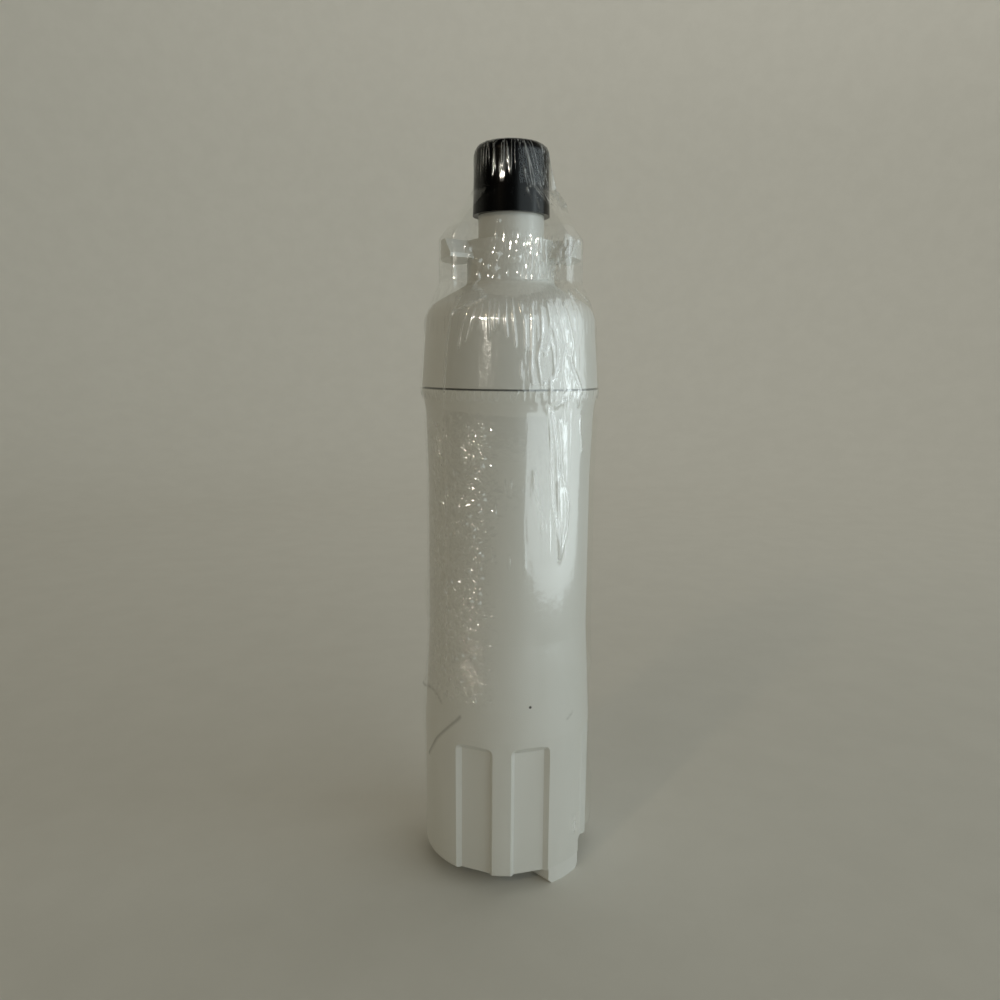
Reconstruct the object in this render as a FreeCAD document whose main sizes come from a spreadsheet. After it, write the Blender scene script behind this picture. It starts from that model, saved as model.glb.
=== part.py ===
"""Water filter cartridge for a refrigerator, in millimetres, standing upright on the bar under its base.

The front of the cartridge faces -Y and the origin is on its axis, at the table.
A moulded cup holds a carbon block between two end caps, and a moulded head closes it.
The head's nozzle carries two O-rings under a push-on cap, and clear film is shrunk over everything.
"""

import FreeCAD, Part
import os
import Sketcher

DRIVING = {
    # cup
    "ring_radius": 27.5,
    "ring_height": 6.4,
    "ring_flare": 1.3,
    "ring_blend": 20.8,
    "ring_blend_radius": 30.0,
    "label_recess": 2.0,
    "label_length": 49.0,
    "housing_wall": 2.0,
    "mouth_height": 10.0,
    "mouth_inset": 0.4,
    "mouth_fit": 0.1,
    "grip_inset": 0.5,
    "grip_draft": 0.1,
    "grip_height": 44.5,
    "grip_blend": 30.0,
    "flute_width": 14.0,
    "flute_height": 42.7,
    "flute_depth": 2.2,
    "flute_corner": 2.4,
    "flute_wall_angle": 45.0,
    "first_flute_azimuth": -22.5,
    "flute_pitch": 39.0,
    "bar_azimuth": 45.5,
    "bar_width": 14.0,
    "bar_height": 4.5,
    "bar_chamfer": 1.2,
    "rim_width": 5.0,
    "rim_fillet": 0.8,
    "dish_depth": 3.0,
    "base_thickness": 3.0,
    # head
    "collar_inset": 0.1,
    "collar_draft": 1.7,
    "collar_height": 24.3,
    "seam_height": 0.5,
    "seam_depth": 0.9,
    "shoulder_rise": 7.0,
    "shoulder_fillet": 7.0,
    "head_wall": 2.2,
    "dome_inset": 2.6,
    "dome_drop": 1.3,
    "tier_step": 3.4,
    "tier_height": 12.7,
    "tier_root_fillet": 2.0,
    "lug_reach": 8.0,
    "lug_height": 5.4,
    "lug_angle": 68.0,
    "lug_ramp_rise": 4.2,
    "lug_ramp_run": 3.6,
    "neck_radius": 10.0,
    "neck_height": 7.6,
    "cap_seat": 1.0,
    "nozzle_height": 18.8,
    "nozzle_chamfer": 0.6,
    "groove_width": 2.5,
    "groove_depth": 1.4,
    "groove_wall": 1.4,
    "lower_groove": 3.0,
    "upper_groove": 12.6,
    "port_radius": 1.6,
    "port_count": 4,
    "web_thickness": 3.0,
    "outlet_radius": 3.0,
    "tube_wall": 1.3,
    "bell_wall": 1.6,
    "bell_slope": 4.0,
    "bell_clearance": 2.0,
    # cap and O-rings
    "cap_fit": 0.1,
    "cap_wall": 2.1,
    "cap_top": 1.5,
    "cap_draft": 0.6,
    "cap_headroom": 0.4,
    "cap_fillet": 3.2,
    "ring_proud": 0.5,
    "ring_fit": 0.03,
    # block and end caps
    "water_gap": 1.6,
    "lip_wall": 1.1,
    "lip_height": 6.0,
    "lip_fit": 0.15,
    "disc_thickness": 2.0,
    "wrap_thickness": 0.7,
    "wrap_fit": 0.05,
    "wrap_inset": 1.0,
    "block_bore": 6.0,
    "block_rise": 3.0,
    "boss_height": 3.0,
    "boss_wall": 2.2,
    "boss_fit": 0.2,
    "stub_radius": 6.0,
    "stub_length": 2.4,
    "spigot_radius": 6.0,
    "spigot_length": 14.0,
    "spigot_fit": 0.2,
    "spigot_groove_depth": 1.1,
    "spigot_groove_width": 1.9,
    "spigot_groove_drop": 2.0,
    # film
    "film_gap": 0.4,
    "film_gauge": 0.25,
    "film_hem": 1.0,
    "film_tent": 6.5,
    "film_flare_rise": 2.1,
    "film_flare_inset": 2.1,
    "film_crown": 1.9,
}

WORKED_OUT = {
    # cup, measured up from the table
    "rim_level": "bar_height",
    "dish_level": "rim_level + dish_depth",
    "floor_level": "dish_level + base_thickness",
    "boss_top": "floor_level + boss_height",
    "grip_top": "rim_level + grip_height",
    "label_bottom": "grip_top + grip_blend",
    "label_top": "label_bottom + label_length",
    "ring_bottom": "label_top + ring_blend",
    "seam_level": "ring_bottom + ring_height",
    "ring_foot_radius": "ring_radius - ring_flare",
    "label_radius": "ring_radius - label_recess",
    "housing_inner": "label_radius - housing_wall",
    "mouth_outer": "label_radius - mouth_inset",
    "mouth_top": "seam_level + mouth_height",
    "grip_top_radius": "ring_radius - grip_inset",
    "grip_radius": "grip_top_radius - grip_draft",
    "dish_radius": "grip_radius - rim_width",
    "boss_inner": "stub_radius + boss_fit",
    "boss_outer": "boss_inner + boss_wall",
    "flute_foot": "rim_level - 2 * flute_depth",
    "flute_top": "rim_level + flute_height",
    # head, measured up from the seam
    "skirt_inner": "mouth_outer + mouth_fit",
    "skirt_level": "mouth_height + mouth_inset",
    "collar_radius": "ring_radius - collar_inset",
    "rebate_radius": "collar_radius - seam_depth",
    "shoulder_radius": "collar_radius - collar_draft",
    "tier_radius": "neck_radius + tier_step",
    "lug_radius": "tier_radius + lug_reach",
    "tier_base": "collar_height + shoulder_rise",
    "tier_top": "tier_base + tier_height",
    "lug_bottom": "tier_top - lug_height",
    "neck_top": "tier_top + neck_height",
    "nozzle_top": "neck_top + nozzle_height",
    "nozzle_radius": "neck_radius - cap_seat",
    "groove_radius": "nozzle_radius - groove_depth",
    "lower_groove_bottom": "neck_top + lower_groove",
    "lower_groove_top": "lower_groove_bottom + groove_width",
    "upper_groove_bottom": "neck_top + upper_groove",
    "upper_groove_top": "upper_groove_bottom + groove_width",
    "port_level": "(lower_groove_top + upper_groove_bottom) / 2",
    "web_bottom": "nozzle_top - web_thickness",
    "nozzle_bore": "groove_radius - groove_wall",
    "neck_bore": "neck_radius - head_wall",
    "tier_bore": "tier_radius - head_wall",
    "tube_outer": "outlet_radius + tube_wall",
    "bell_radius": "spigot_radius + spigot_fit",
    "bell_outer": "bell_radius + bell_wall",
    "dome_radius": "shoulder_radius - dome_inset",
    "dome_level": "collar_height - head_wall",
    "tier_bore_base": "tier_base - dome_drop",
    "tier_bore_top": "tier_top - head_wall",
    "neck_bore_top": "neck_top - head_wall",
    # block and end caps
    "end_cap_radius": "housing_inner - water_gap",
    "lip_inner": "end_cap_radius - lip_wall",
    "wrap_radius": "lip_inner - lip_fit",
    "block_radius": "wrap_radius - wrap_thickness - wrap_fit",
    "block_bottom": "boss_top + disc_thickness",
    "block_top": "seam_level + block_rise",
    "block_length": "block_top - block_bottom",
    "stub_end": "-stub_length",
    "lip_top": "disc_thickness + lip_height",
    "lip_end": "-lip_height",
    "spigot_top": "disc_thickness + spigot_length",
    "spigot_groove_top": "spigot_top - spigot_groove_drop",
    "spigot_groove_bottom": "spigot_groove_top - spigot_groove_width",
    "spigot_groove_radius": "spigot_radius - spigot_groove_depth",
    "bell_bottom": "block_rise + disc_thickness + bell_clearance",
    "bell_top": "block_rise + spigot_top + bell_clearance",
    "tube_start": "bell_top + bell_slope",
    # cap, measured up from its rim
    "cap_inner": "nozzle_radius + ring_proud + cap_fit",
    "cap_radius": "cap_inner + cap_wall",
    "cap_top_radius": "cap_radius - cap_draft",
    "cap_ceiling": "nozzle_height + cap_headroom",
    "cap_height": "cap_ceiling + cap_top",
    # O-rings
    "nozzle_ring_section": "(groove_depth + ring_proud) / 2 - ring_fit / 2",
    "nozzle_ring_radius": "groove_radius + ring_fit + nozzle_ring_section",
    "lower_ring_level": "seam_level + lower_groove_bottom + groove_width / 2",
    "upper_ring_level": "seam_level + upper_groove_bottom + groove_width / 2",
    "spigot_ring_section": "(spigot_groove_depth + spigot_fit) / 2 - ring_fit",
    "spigot_ring_radius": "spigot_groove_radius + ring_fit + spigot_ring_section",
    "spigot_ring_level": "block_top + spigot_groove_bottom + spigot_groove_width / 2",
    "cap_level": "seam_level + neck_top",
    "wrap_length": "block_length - 2 * wrap_inset",
    "wrap_bottom": "block_bottom + wrap_inset",
    "wrap_inner": "wrap_radius - wrap_thickness",
    # film levels, measured up from the table
    "film_bottom": "rim_level + film_hem",
    "film_collar_level": "seam_level + seam_height",
    "film_shoulder_level": "seam_level + collar_height - shoulder_fillet / 2",
    "film_flare_level": "seam_level + collar_height + film_flare_rise",
    "film_waist_level": "seam_level + tier_base",
    "film_lug_level": "seam_level + tier_top",
    "film_tent_level": "cap_level + film_tent",
    "cap_top_level": "cap_level + cap_height",
    "film_bend_level": "cap_top_level - film_crown",
    "film_slab_top": "cap_top_level + ring_radius",
    "film_slab_bottom": "-ring_radius",
    "film_slab_front": "2 * ring_radius",
    "film_slab_back": "-film_slab_front",
    "film_slab_length": "2 * film_slab_front",
    "shoulder_slope": "shoulder_rise / (shoulder_radius - tier_radius)",
    "collar_slope": "collar_draft / (collar_height - seam_height)",
}
# The film's two faces keep to the same outline, one of them further out by the film's gauge.
for face, gap in (("film_inner", "film_gap"), ("film_outer", "(film_gap + film_gauge)")):
    WORKED_OUT |= {
        face + "_grip": f"grip_top_radius + {gap}",
        face + "_label": f"label_radius + {gap}",
        face + "_ring_foot": f"ring_foot_radius + {gap}",
        face + "_ring": f"ring_radius + {gap}",
        face + "_shoulder": f"shoulder_radius + collar_slope * shoulder_fillet / 2 + {gap}",
        face + "_flare": f"shoulder_radius - film_flare_inset + {gap}",
        face + "_lug": f"lug_radius + {gap}",
        face + "_lug_level": f"film_lug_level + {gap}",
        face + "_cap": f"cap_radius + {gap}",
        face + "_bend": f"cap_top_radius + {gap}",
        face + "_crown": f"cap_top_radius - film_crown + {gap} / 2",
        face + "_top": f"cap_top_level + {gap}",
        face + "_front": f"tier_radius + {gap}",
        face + "_back": f"-tier_radius - {gap}",
        face + "_slope_top": f"film_waist_level + {gap} * (1 + shoulder_slope)",
        face + "_slope_foot": f"{face}_slope_top - (film_slab_front - {face}_front) * shoulder_slope",
    }

doc = FreeCAD.newDocument("filter_cartridge")
sizes = doc.addObject("Spreadsheet::Sheet", "Sizes")


def fill_sheet():
    """Puts each size in a row of its own: driving ones as numbers, the others as formulas."""
    row = 1
    for name, number in DRIVING.items():
        sizes.set(f"A{row}", name)
        sizes.set(f"B{row}", str(number))
        sizes.setAlias(f"B{row}", name)
        row += 1
    for name, formula in WORKED_OUT.items():
        sizes.set(f"A{row}", name)
        sizes.set(f"B{row}", "=" + formula)
        sizes.setAlias(f"B{row}", name)
        row += 1
    doc.recompute()


def size(name):
    return float(sizes.get(name))


def bind(thing, prop, name):
    """Ties a property to one cell of the sheet, or to a formula that already names its cells."""
    thing.setExpression(prop, name if "Sizes." in name else "Sizes." + name)


def new_body(label, level=None):
    body = doc.addObject("PartDesign::Body", label)
    body.Label = label
    if level:
        bind(body, "Placement.Base.z", level)
    return body


def plane_of(body, role):
    return next(part for part in body.Origin.OriginFeatures if part.Role == role)


def new_sketch(body, name, role="XZ_Plane"):
    sketch = body.newObject("Sketcher::SketchObject", name)
    sketch.AttachmentSupport = (plane_of(body, role), [""])
    sketch.MapMode = "FlatFace"
    return sketch


def tie(sketch, name, *terms):
    """Adds a constraint whose last term is its value now, and ties that value to the sheet."""
    index = sketch.addConstraint(Sketcher.Constraint(*terms))
    bind(sketch, f"Constraints[{index}]", name)


def join(sketch, *pairs):
    """Makes ends of lines and arcs meet, each pair given as line, end, line, end."""
    for pair in pairs:
        sketch.addConstraint(Sketcher.Constraint("Coincident", *pair))


def pin(sketch, line, across, up):
    """Fixes the start of a line at two named sizes, or on an axis of the sketch where one of them is None."""
    if across is None:
        sketch.addConstraint(Sketcher.Constraint("PointOnObject", line, 1, -2))
    else:
        tie(sketch, across, "DistanceX", -1, 1, line, 1, size(across))
    if up is None:
        sketch.addConstraint(Sketcher.Constraint("PointOnObject", line, 1, -1))
    else:
        tie(sketch, up, "DistanceY", -1, 1, line, 1, size(up))


def draw_profile(sketch, corners):
    """Draws a closed outline through corners given by the names of their sizes, with None for an axis."""
    spots = []
    for across, up in corners:
        spots.append(FreeCAD.Vector(size(across) if across else 0, size(up) if up else 0, 0))
    count = len(spots)
    for i in range(count):
        sketch.addGeometry(Part.LineSegment(spots[i], spots[(i + 1) % count]), False)
    for i in range(count):
        join(sketch, (i, 2, (i + 1) % count, 1))
    for i, (across, up) in enumerate(corners):
        pin(sketch, i, across, up)
    doc.recompute()


def turned(body, name, corners):
    """A body's first feature: a profile turned about its axis."""
    sketch = new_sketch(body, name + "_profile")
    draw_profile(sketch, corners)
    feature = body.newObject("PartDesign::Revolution", name + "_turned")
    feature.Profile = sketch
    feature.ReferenceAxis = (sketch, ["V_Axis"])
    feature.Angle = 360
    doc.recompute()
    return feature


def circles_at(feature, spots):
    """Names of a feature's round edges whose radius and level match any of the pairs of sizes."""
    found = []
    for i, edge in enumerate(feature.Shape.Edges):
        if not isinstance(edge.Curve, Part.Circle):
            continue
        for radius, level in spots:
            same_radius = abs(edge.Curve.Radius - size(radius)) < 1e-4
            same_level = abs(edge.Curve.Center.z - size(level)) < 1e-4
            if same_radius and same_level:
                found.append(f"Edge{i + 1}")
    return found


def rounded(body, name, base, spots, radius):
    feature = body.newObject("PartDesign::Fillet", name)
    feature.Base = (base, circles_at(base, spots))
    bind(feature, "Radius", radius)
    doc.recompute()
    return feature


def bevelled(body, name, base, edges, first, second=None):
    feature = body.newObject("PartDesign::Chamfer", name)
    feature.Base = (base, edges)
    bind(feature, "Size", first)
    if second:
        feature.ChamferType = "Two distances"
        bind(feature, "Size2", second)
    doc.recompute()
    return feature


def make_bar(body):
    """The bar across the base that the cartridge stands on: a strip cut round at the grip's radius."""
    sketch = new_sketch(body, "bar_outline", "XY_Plane")
    bind(sketch, "AttachmentOffset.Rotation.Angle", "Sizes.bar_azimuth - 90")
    half = size("bar_width") / 2
    radius = size("grip_radius")
    reach = (radius**2 - half**2) ** 0.5
    left, right = FreeCAD.Vector(-reach, half, 0), FreeCAD.Vector(reach, half, 0)
    low_right, low_left = FreeCAD.Vector(reach, -half, 0), FreeCAD.Vector(-reach, -half, 0)
    top = sketch.addGeometry(Part.LineSegment(left, right), False)
    east = sketch.addGeometry(Part.Arc(low_right, FreeCAD.Vector(radius, 0, 0), right), False)
    bottom = sketch.addGeometry(Part.LineSegment(low_right, low_left), False)
    west = sketch.addGeometry(Part.Arc(left, FreeCAD.Vector(-radius, 0, 0), low_left), False)
    for arc in (east, west):
        join(sketch, (arc, 3, -1, 1))
        tie(sketch, "grip_radius", "Radius", arc, radius)
    join(sketch, (top, 2, east, 2), (east, 1, bottom, 1), (bottom, 2, west, 2), (west, 1, top, 1))
    sketch.addConstraint(Sketcher.Constraint("Horizontal", top))
    sketch.addConstraint(Sketcher.Constraint("Horizontal", bottom))
    tie(sketch, "Sizes.bar_width / 2", "DistanceY", bottom, 1, -1, 1, half)
    tie(sketch, "Sizes.bar_width / 2", "DistanceY", -1, 1, top, 2, half)
    bar = body.newObject("PartDesign::Pad", "bar")
    bar.Profile = sketch
    bind(bar, "Length", "dish_level")
    doc.recompute()
    return bar


def draw_flute(sketch):
    """An upright slot with rounded upper corners, seen from the front."""
    half = size("flute_width") / 2
    low, high, corner = size("flute_foot"), size("flute_top"), size("flute_corner")
    slant = corner * (1 - 0.5**0.5)
    at = FreeCAD.Vector
    inset, bend = half - corner, high - corner
    foot = sketch.addGeometry(Part.LineSegment(at(-half, low, 0), at(half, low, 0)), False)
    right = sketch.addGeometry(Part.LineSegment(at(half, low, 0), at(half, bend, 0)), False)
    arc = Part.Arc(at(half, bend, 0), at(half - slant, high - slant, 0), at(inset, high, 0))
    right_bend = sketch.addGeometry(arc, False)
    head = sketch.addGeometry(Part.LineSegment(at(inset, high, 0), at(-inset, high, 0)), False)
    arc = Part.Arc(at(-inset, high, 0), at(slant - half, high - slant, 0), at(-half, bend, 0))
    left_bend = sketch.addGeometry(arc, False)
    left = sketch.addGeometry(Part.LineSegment(at(-half, bend, 0), at(-half, low, 0)), False)
    join(sketch, (foot, 2, right, 1), (left, 2, foot, 1))
    for first, second in ((right, right_bend), (right_bend, head), (head, left_bend), (left_bend, left)):
        sketch.addConstraint(Sketcher.Constraint("Tangent", first, 2, second, 1))
    sketch.addConstraint(Sketcher.Constraint("Horizontal", head))
    sketch.addConstraint(Sketcher.Constraint("Symmetric", foot, 1, foot, 2, -2))
    sketch.addConstraint(Sketcher.Constraint("Equal", right_bend, left_bend))
    tie(sketch, "flute_width", "DistanceX", foot, 1, foot, 2, 2 * half)
    tie(sketch, "flute_corner", "Radius", right_bend, corner)
    tie(sketch, "flute_foot", "DistanceY", -1, 1, foot, 1, low)
    tie(sketch, "flute_top", "DistanceY", -1, 1, head, 1, high)
    sketch.addConstraint(Sketcher.Constraint("Vertical", right))


def make_flutes(body):
    """Three finger flutes, the third across the bar's end from the others, repeated half a turn on."""
    flutes = []
    azimuths = (
        "Sizes.first_flute_azimuth",
        "Sizes.first_flute_azimuth + Sizes.flute_pitch",
        "2 * Sizes.bar_azimuth - Sizes.first_flute_azimuth - Sizes.flute_pitch",
    )
    for i, azimuth in enumerate(azimuths):
        sketch = new_sketch(body, f"flute_{i + 1}_outline")
        about_axis = FreeCAD.Rotation(FreeCAD.Vector(0, 1, 0), 1)
        sketch.AttachmentOffset = FreeCAD.Placement(FreeCAD.Vector(), about_axis)
        bind(sketch, "AttachmentOffset.Base.x", f"Sizes.grip_top_radius * sin({azimuth})")
        bind(sketch, "AttachmentOffset.Base.z", f"Sizes.grip_top_radius * cos({azimuth})")
        bind(sketch, "AttachmentOffset.Rotation.Angle", azimuth)
        draw_flute(sketch)
        doc.recompute()
        flute = body.newObject("PartDesign::Pocket", f"flute_{i + 1}")
        flute.Profile = sketch
        bind(flute, "Length", "flute_depth")
        bind(flute, "TaperAngle", "-Sizes.flute_wall_angle")
        doc.recompute()
        flutes.append(flute)
    pattern = body.newObject("PartDesign::PolarPattern", "flutes_opposite")
    pattern.Originals = flutes
    pattern.Axis = (plane_of(body, "Z_Axis"), [""])
    pattern.Angle = 360
    pattern.Occurrences = 2
    body.Tip = pattern
    doc.recompute()
    return pattern


def make_housing():
    body = new_body("housing")
    cup = turned(
        body,
        "cup",
        [
            ("dish_radius", "rim_level"),
            ("grip_radius", "rim_level"),
            ("grip_top_radius", "grip_top"),
            ("label_radius", "label_bottom"),
            ("label_radius", "label_top"),
            ("ring_foot_radius", "ring_bottom"),
            ("ring_radius", "seam_level"),
            ("mouth_outer", "seam_level"),
            ("mouth_outer", "mouth_top"),
            ("housing_inner", "mouth_top"),
            ("housing_inner", "floor_level"),
            ("boss_outer", "floor_level"),
            ("boss_outer", "boss_top"),
            ("boss_inner", "boss_top"),
            ("boss_inner", "floor_level"),
            (None, "floor_level"),
            (None, "dish_level"),
            ("dish_radius", "dish_level"),
        ],
    )
    flared = rounded(body, "ring_root", cup, [("ring_foot_radius", "ring_bottom")], "ring_blend_radius")
    rounded(body, "rim_edge", flared, [("grip_radius", "rim_level")], "rim_fillet")
    bar = make_bar(body)
    long_edges = []
    for i, edge in enumerate(bar.Shape.Edges):
        ends = [vertex.Point for vertex in edge.Vertexes]
        if isinstance(edge.Curve, Part.Line) and all(abs(end.z) < 1e-6 for end in ends):
            long_edges.append(f"Edge{i + 1}")
    bevelled(body, "bar_sides", bar, long_edges, "bar_chamfer")
    make_flutes(body)
    return body


def draw_lugs(sketch):
    """Two ring sectors on opposite sides of the tier, drawn from its inside so that they join it."""
    inner, outer = size("tier_bore") + size("head_wall") / 2, size("lug_radius")
    half = size("lug_angle") / 2
    for middle in (0, 180):
        spots = []
        corners = [(inner, -half), (outer, -half), (outer, 0), (outer, half), (inner, half), (inner, 0)]
        for radius, angle in corners:
            turn = FreeCAD.Rotation(FreeCAD.Vector(0, 0, 1), middle + angle)
            spots.append(turn.multVec(FreeCAD.Vector(radius, 0, 0)))
        start = sketch.addGeometry(Part.LineSegment(spots[0], spots[1]), False)
        rim = sketch.addGeometry(Part.Arc(spots[1], spots[2], spots[3]), False)
        end = sketch.addGeometry(Part.LineSegment(spots[3], spots[4]), False)
        root = sketch.addGeometry(Part.Arc(spots[0], spots[5], spots[4]), False)
        join(sketch, (start, 2, rim, 1), (rim, 2, end, 1), (end, 2, root, 2), (root, 1, start, 1))
        join(sketch, (rim, 3, -1, 1), (root, 3, -1, 1))
        for line in (start, end):
            sketch.addConstraint(Sketcher.Constraint("PointOnObject", -1, 1, line))
        sketch.addConstraint(Sketcher.Constraint("Symmetric", rim, 1, rim, 2, -1))
        tie(sketch, "lug_radius", "Radius", rim, outer)
        tie(sketch, "Sizes.tier_bore + Sizes.head_wall / 2", "Radius", root, inner)
        tie(sketch, "lug_angle", "Angle", rim, FreeCAD.Units.Quantity(f"{2 * half} deg"))
    doc.recompute()


def make_head():
    body = new_body("head", "seam_level")
    moulding = turned(
        body,
        "moulding",
        [
            ("skirt_inner", None),
            ("rebate_radius", None),
            ("rebate_radius", "seam_height"),
            ("collar_radius", "seam_height"),
            ("shoulder_radius", "collar_height"),
            ("tier_radius", "tier_base"),
            ("tier_radius", "tier_top"),
            ("neck_radius", "tier_top"),
            ("neck_radius", "neck_top"),
            ("nozzle_radius", "neck_top"),
            ("nozzle_radius", "lower_groove_bottom"),
            ("groove_radius", "lower_groove_bottom"),
            ("groove_radius", "lower_groove_top"),
            ("nozzle_radius", "lower_groove_top"),
            ("nozzle_radius", "upper_groove_bottom"),
            ("groove_radius", "upper_groove_bottom"),
            ("groove_radius", "upper_groove_top"),
            ("nozzle_radius", "upper_groove_top"),
            ("nozzle_radius", "nozzle_top"),
            ("outlet_radius", "nozzle_top"),
            ("outlet_radius", "bell_top"),
            ("bell_radius", "bell_top"),
            ("bell_radius", "bell_bottom"),
            ("bell_outer", "bell_bottom"),
            ("bell_outer", "bell_top"),
            ("tube_outer", "tube_start"),
            ("tube_outer", "web_bottom"),
            ("nozzle_bore", "web_bottom"),
            ("nozzle_bore", "neck_bore_top"),
            ("neck_bore", "neck_bore_top"),
            ("neck_bore", "tier_bore_top"),
            ("tier_bore", "tier_bore_top"),
            ("tier_bore", "tier_bore_base"),
            ("dome_radius", "dome_level"),
            ("skirt_inner", "skirt_level"),
        ],
    )
    lugs_outline = new_sketch(body, "lugs_outline", "XY_Plane")
    bind(lugs_outline, "AttachmentOffset.Base.z", "lug_bottom")
    draw_lugs(lugs_outline)
    lugs = body.newObject("PartDesign::Pad", "lugs")
    lugs.Profile = lugs_outline
    bind(lugs, "Length", "lug_height")
    doc.recompute()
    ramps = []
    for i, edge in enumerate(lugs.Shape.Edges):
        if not isinstance(edge.Curve, Part.Line):
            continue
        level = all(abs(vertex.Point.z - size("tier_top")) < 1e-6 for vertex in edge.Vertexes)
        reach = max(vertex.Point.x**2 + vertex.Point.y**2 for vertex in edge.Vertexes) ** 0.5
        if level and abs(reach - size("lug_radius")) < 1e-4:
            ramps.append(f"Edge{i + 1}")
    ramped = bevelled(body, "lug_ramps", lugs, ramps, "lug_ramp_rise", "lug_ramp_run")
    shoulder = rounded(body, "shoulder", ramped, [("shoulder_radius", "collar_height")], "shoulder_fillet")
    root = rounded(body, "tier_root", shoulder, [("tier_radius", "tier_base")], "tier_root_fillet")
    edges = circles_at(root, [("nozzle_radius", "nozzle_top")])
    bevelled(body, "nozzle_lead", root, edges, "nozzle_chamfer")
    ports_outline = new_sketch(body, "port_outline")
    port_centre = FreeCAD.Vector(0, size("port_level"), 0)
    port_circle = Part.Circle(port_centre, FreeCAD.Vector(0, 0, 1), size("port_radius"))
    ports_outline.addGeometry(port_circle, False)
    ports_outline.addConstraint(Sketcher.Constraint("PointOnObject", 0, 3, -2))
    tie(ports_outline, "port_radius", "Radius", 0, size("port_radius"))
    tie(ports_outline, "port_level", "DistanceY", -1, 1, 0, 3, size("port_level"))
    bind(ports_outline, "AttachmentOffset.Base.z", "neck_radius")
    doc.recompute()
    port = body.newObject("PartDesign::Pocket", "port")
    port.Profile = ports_outline
    bind(port, "Length", "Sizes.neck_radius - (Sizes.nozzle_bore + Sizes.tube_outer) / 2")
    doc.recompute()
    ports = body.newObject("PartDesign::PolarPattern", "ports")
    ports.Originals = [port]
    ports.Axis = (plane_of(body, "Z_Axis"), [""])
    ports.Angle = 360
    bind(ports, "Occurrences", "port_count")
    body.Tip = ports
    doc.recompute()
    return body


def make_cap():
    body = new_body("protective_cap", "cap_level")
    shell = turned(
        body,
        "cap_shell",
        [
            ("cap_inner", None),
            ("cap_radius", None),
            ("cap_top_radius", "cap_height"),
            (None, "cap_height"),
            (None, "cap_ceiling"),
            ("cap_inner", "cap_ceiling"),
        ],
    )
    rounded(body, "cap_edge", shell, [("cap_top_radius", "cap_height")], "cap_fillet")
    return body


def make_o_ring(label, radius, section, level):
    ring = doc.addObject("Part::Torus", label)
    ring.Label = label
    bind(ring, "Radius1", radius)
    bind(ring, "Radius2", section)
    bind(ring, "Placement.Base.z", level)
    return ring


def make_tube(label, outer, inner, length, level):
    """A plain tube: one cylinder cut from another."""
    solid = doc.addObject("Part::Cylinder", label + "_solid")
    bind(solid, "Radius", outer)
    bind(solid, "Height", length)
    hollow = doc.addObject("Part::Cylinder", label + "_hollow")
    bind(hollow, "Radius", inner)
    bind(hollow, "Height", length)
    tube = doc.addObject("Part::Cut", label)
    tube.Label = label
    tube.Base = solid
    tube.Tool = hollow
    bind(tube, "Placement.Base.z", level)
    return tube


def make_bottom_end_cap():
    body = new_body("bottom_end_cap", "boss_top")
    turned(
        body,
        "bottom_cup",
        [
            (None, "stub_end"),
            ("stub_radius", "stub_end"),
            ("stub_radius", None),
            ("end_cap_radius", None),
            ("end_cap_radius", "lip_top"),
            ("lip_inner", "lip_top"),
            ("lip_inner", "disc_thickness"),
            (None, "disc_thickness"),
        ],
    )
    return body


def make_top_end_cap():
    body = new_body("top_end_cap", "block_top")
    turned(
        body,
        "top_cup",
        [
            ("outlet_radius", None),
            ("lip_inner", None),
            ("lip_inner", "lip_end"),
            ("end_cap_radius", "lip_end"),
            ("end_cap_radius", "disc_thickness"),
            ("spigot_radius", "disc_thickness"),
            ("spigot_radius", "spigot_groove_bottom"),
            ("spigot_groove_radius", "spigot_groove_bottom"),
            ("spigot_groove_radius", "spigot_groove_top"),
            ("spigot_radius", "spigot_groove_top"),
            ("spigot_radius", "spigot_top"),
            ("outlet_radius", "spigot_top"),
        ],
    )
    return body


def standing_sketch(name, axis_turn):
    """A sketch outside any body that stands on the axis, in the XZ plane or turned from it about Z."""
    sketch = doc.addObject("Sketcher::SketchObject", name)
    upright = FreeCAD.Rotation(FreeCAD.Vector(1, 0, 0), 90)
    turn = FreeCAD.Rotation(FreeCAD.Vector(0, 0, 1), axis_turn)
    sketch.Placement = FreeCAD.Placement(FreeCAD.Vector(), turn * upright)
    return sketch


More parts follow.
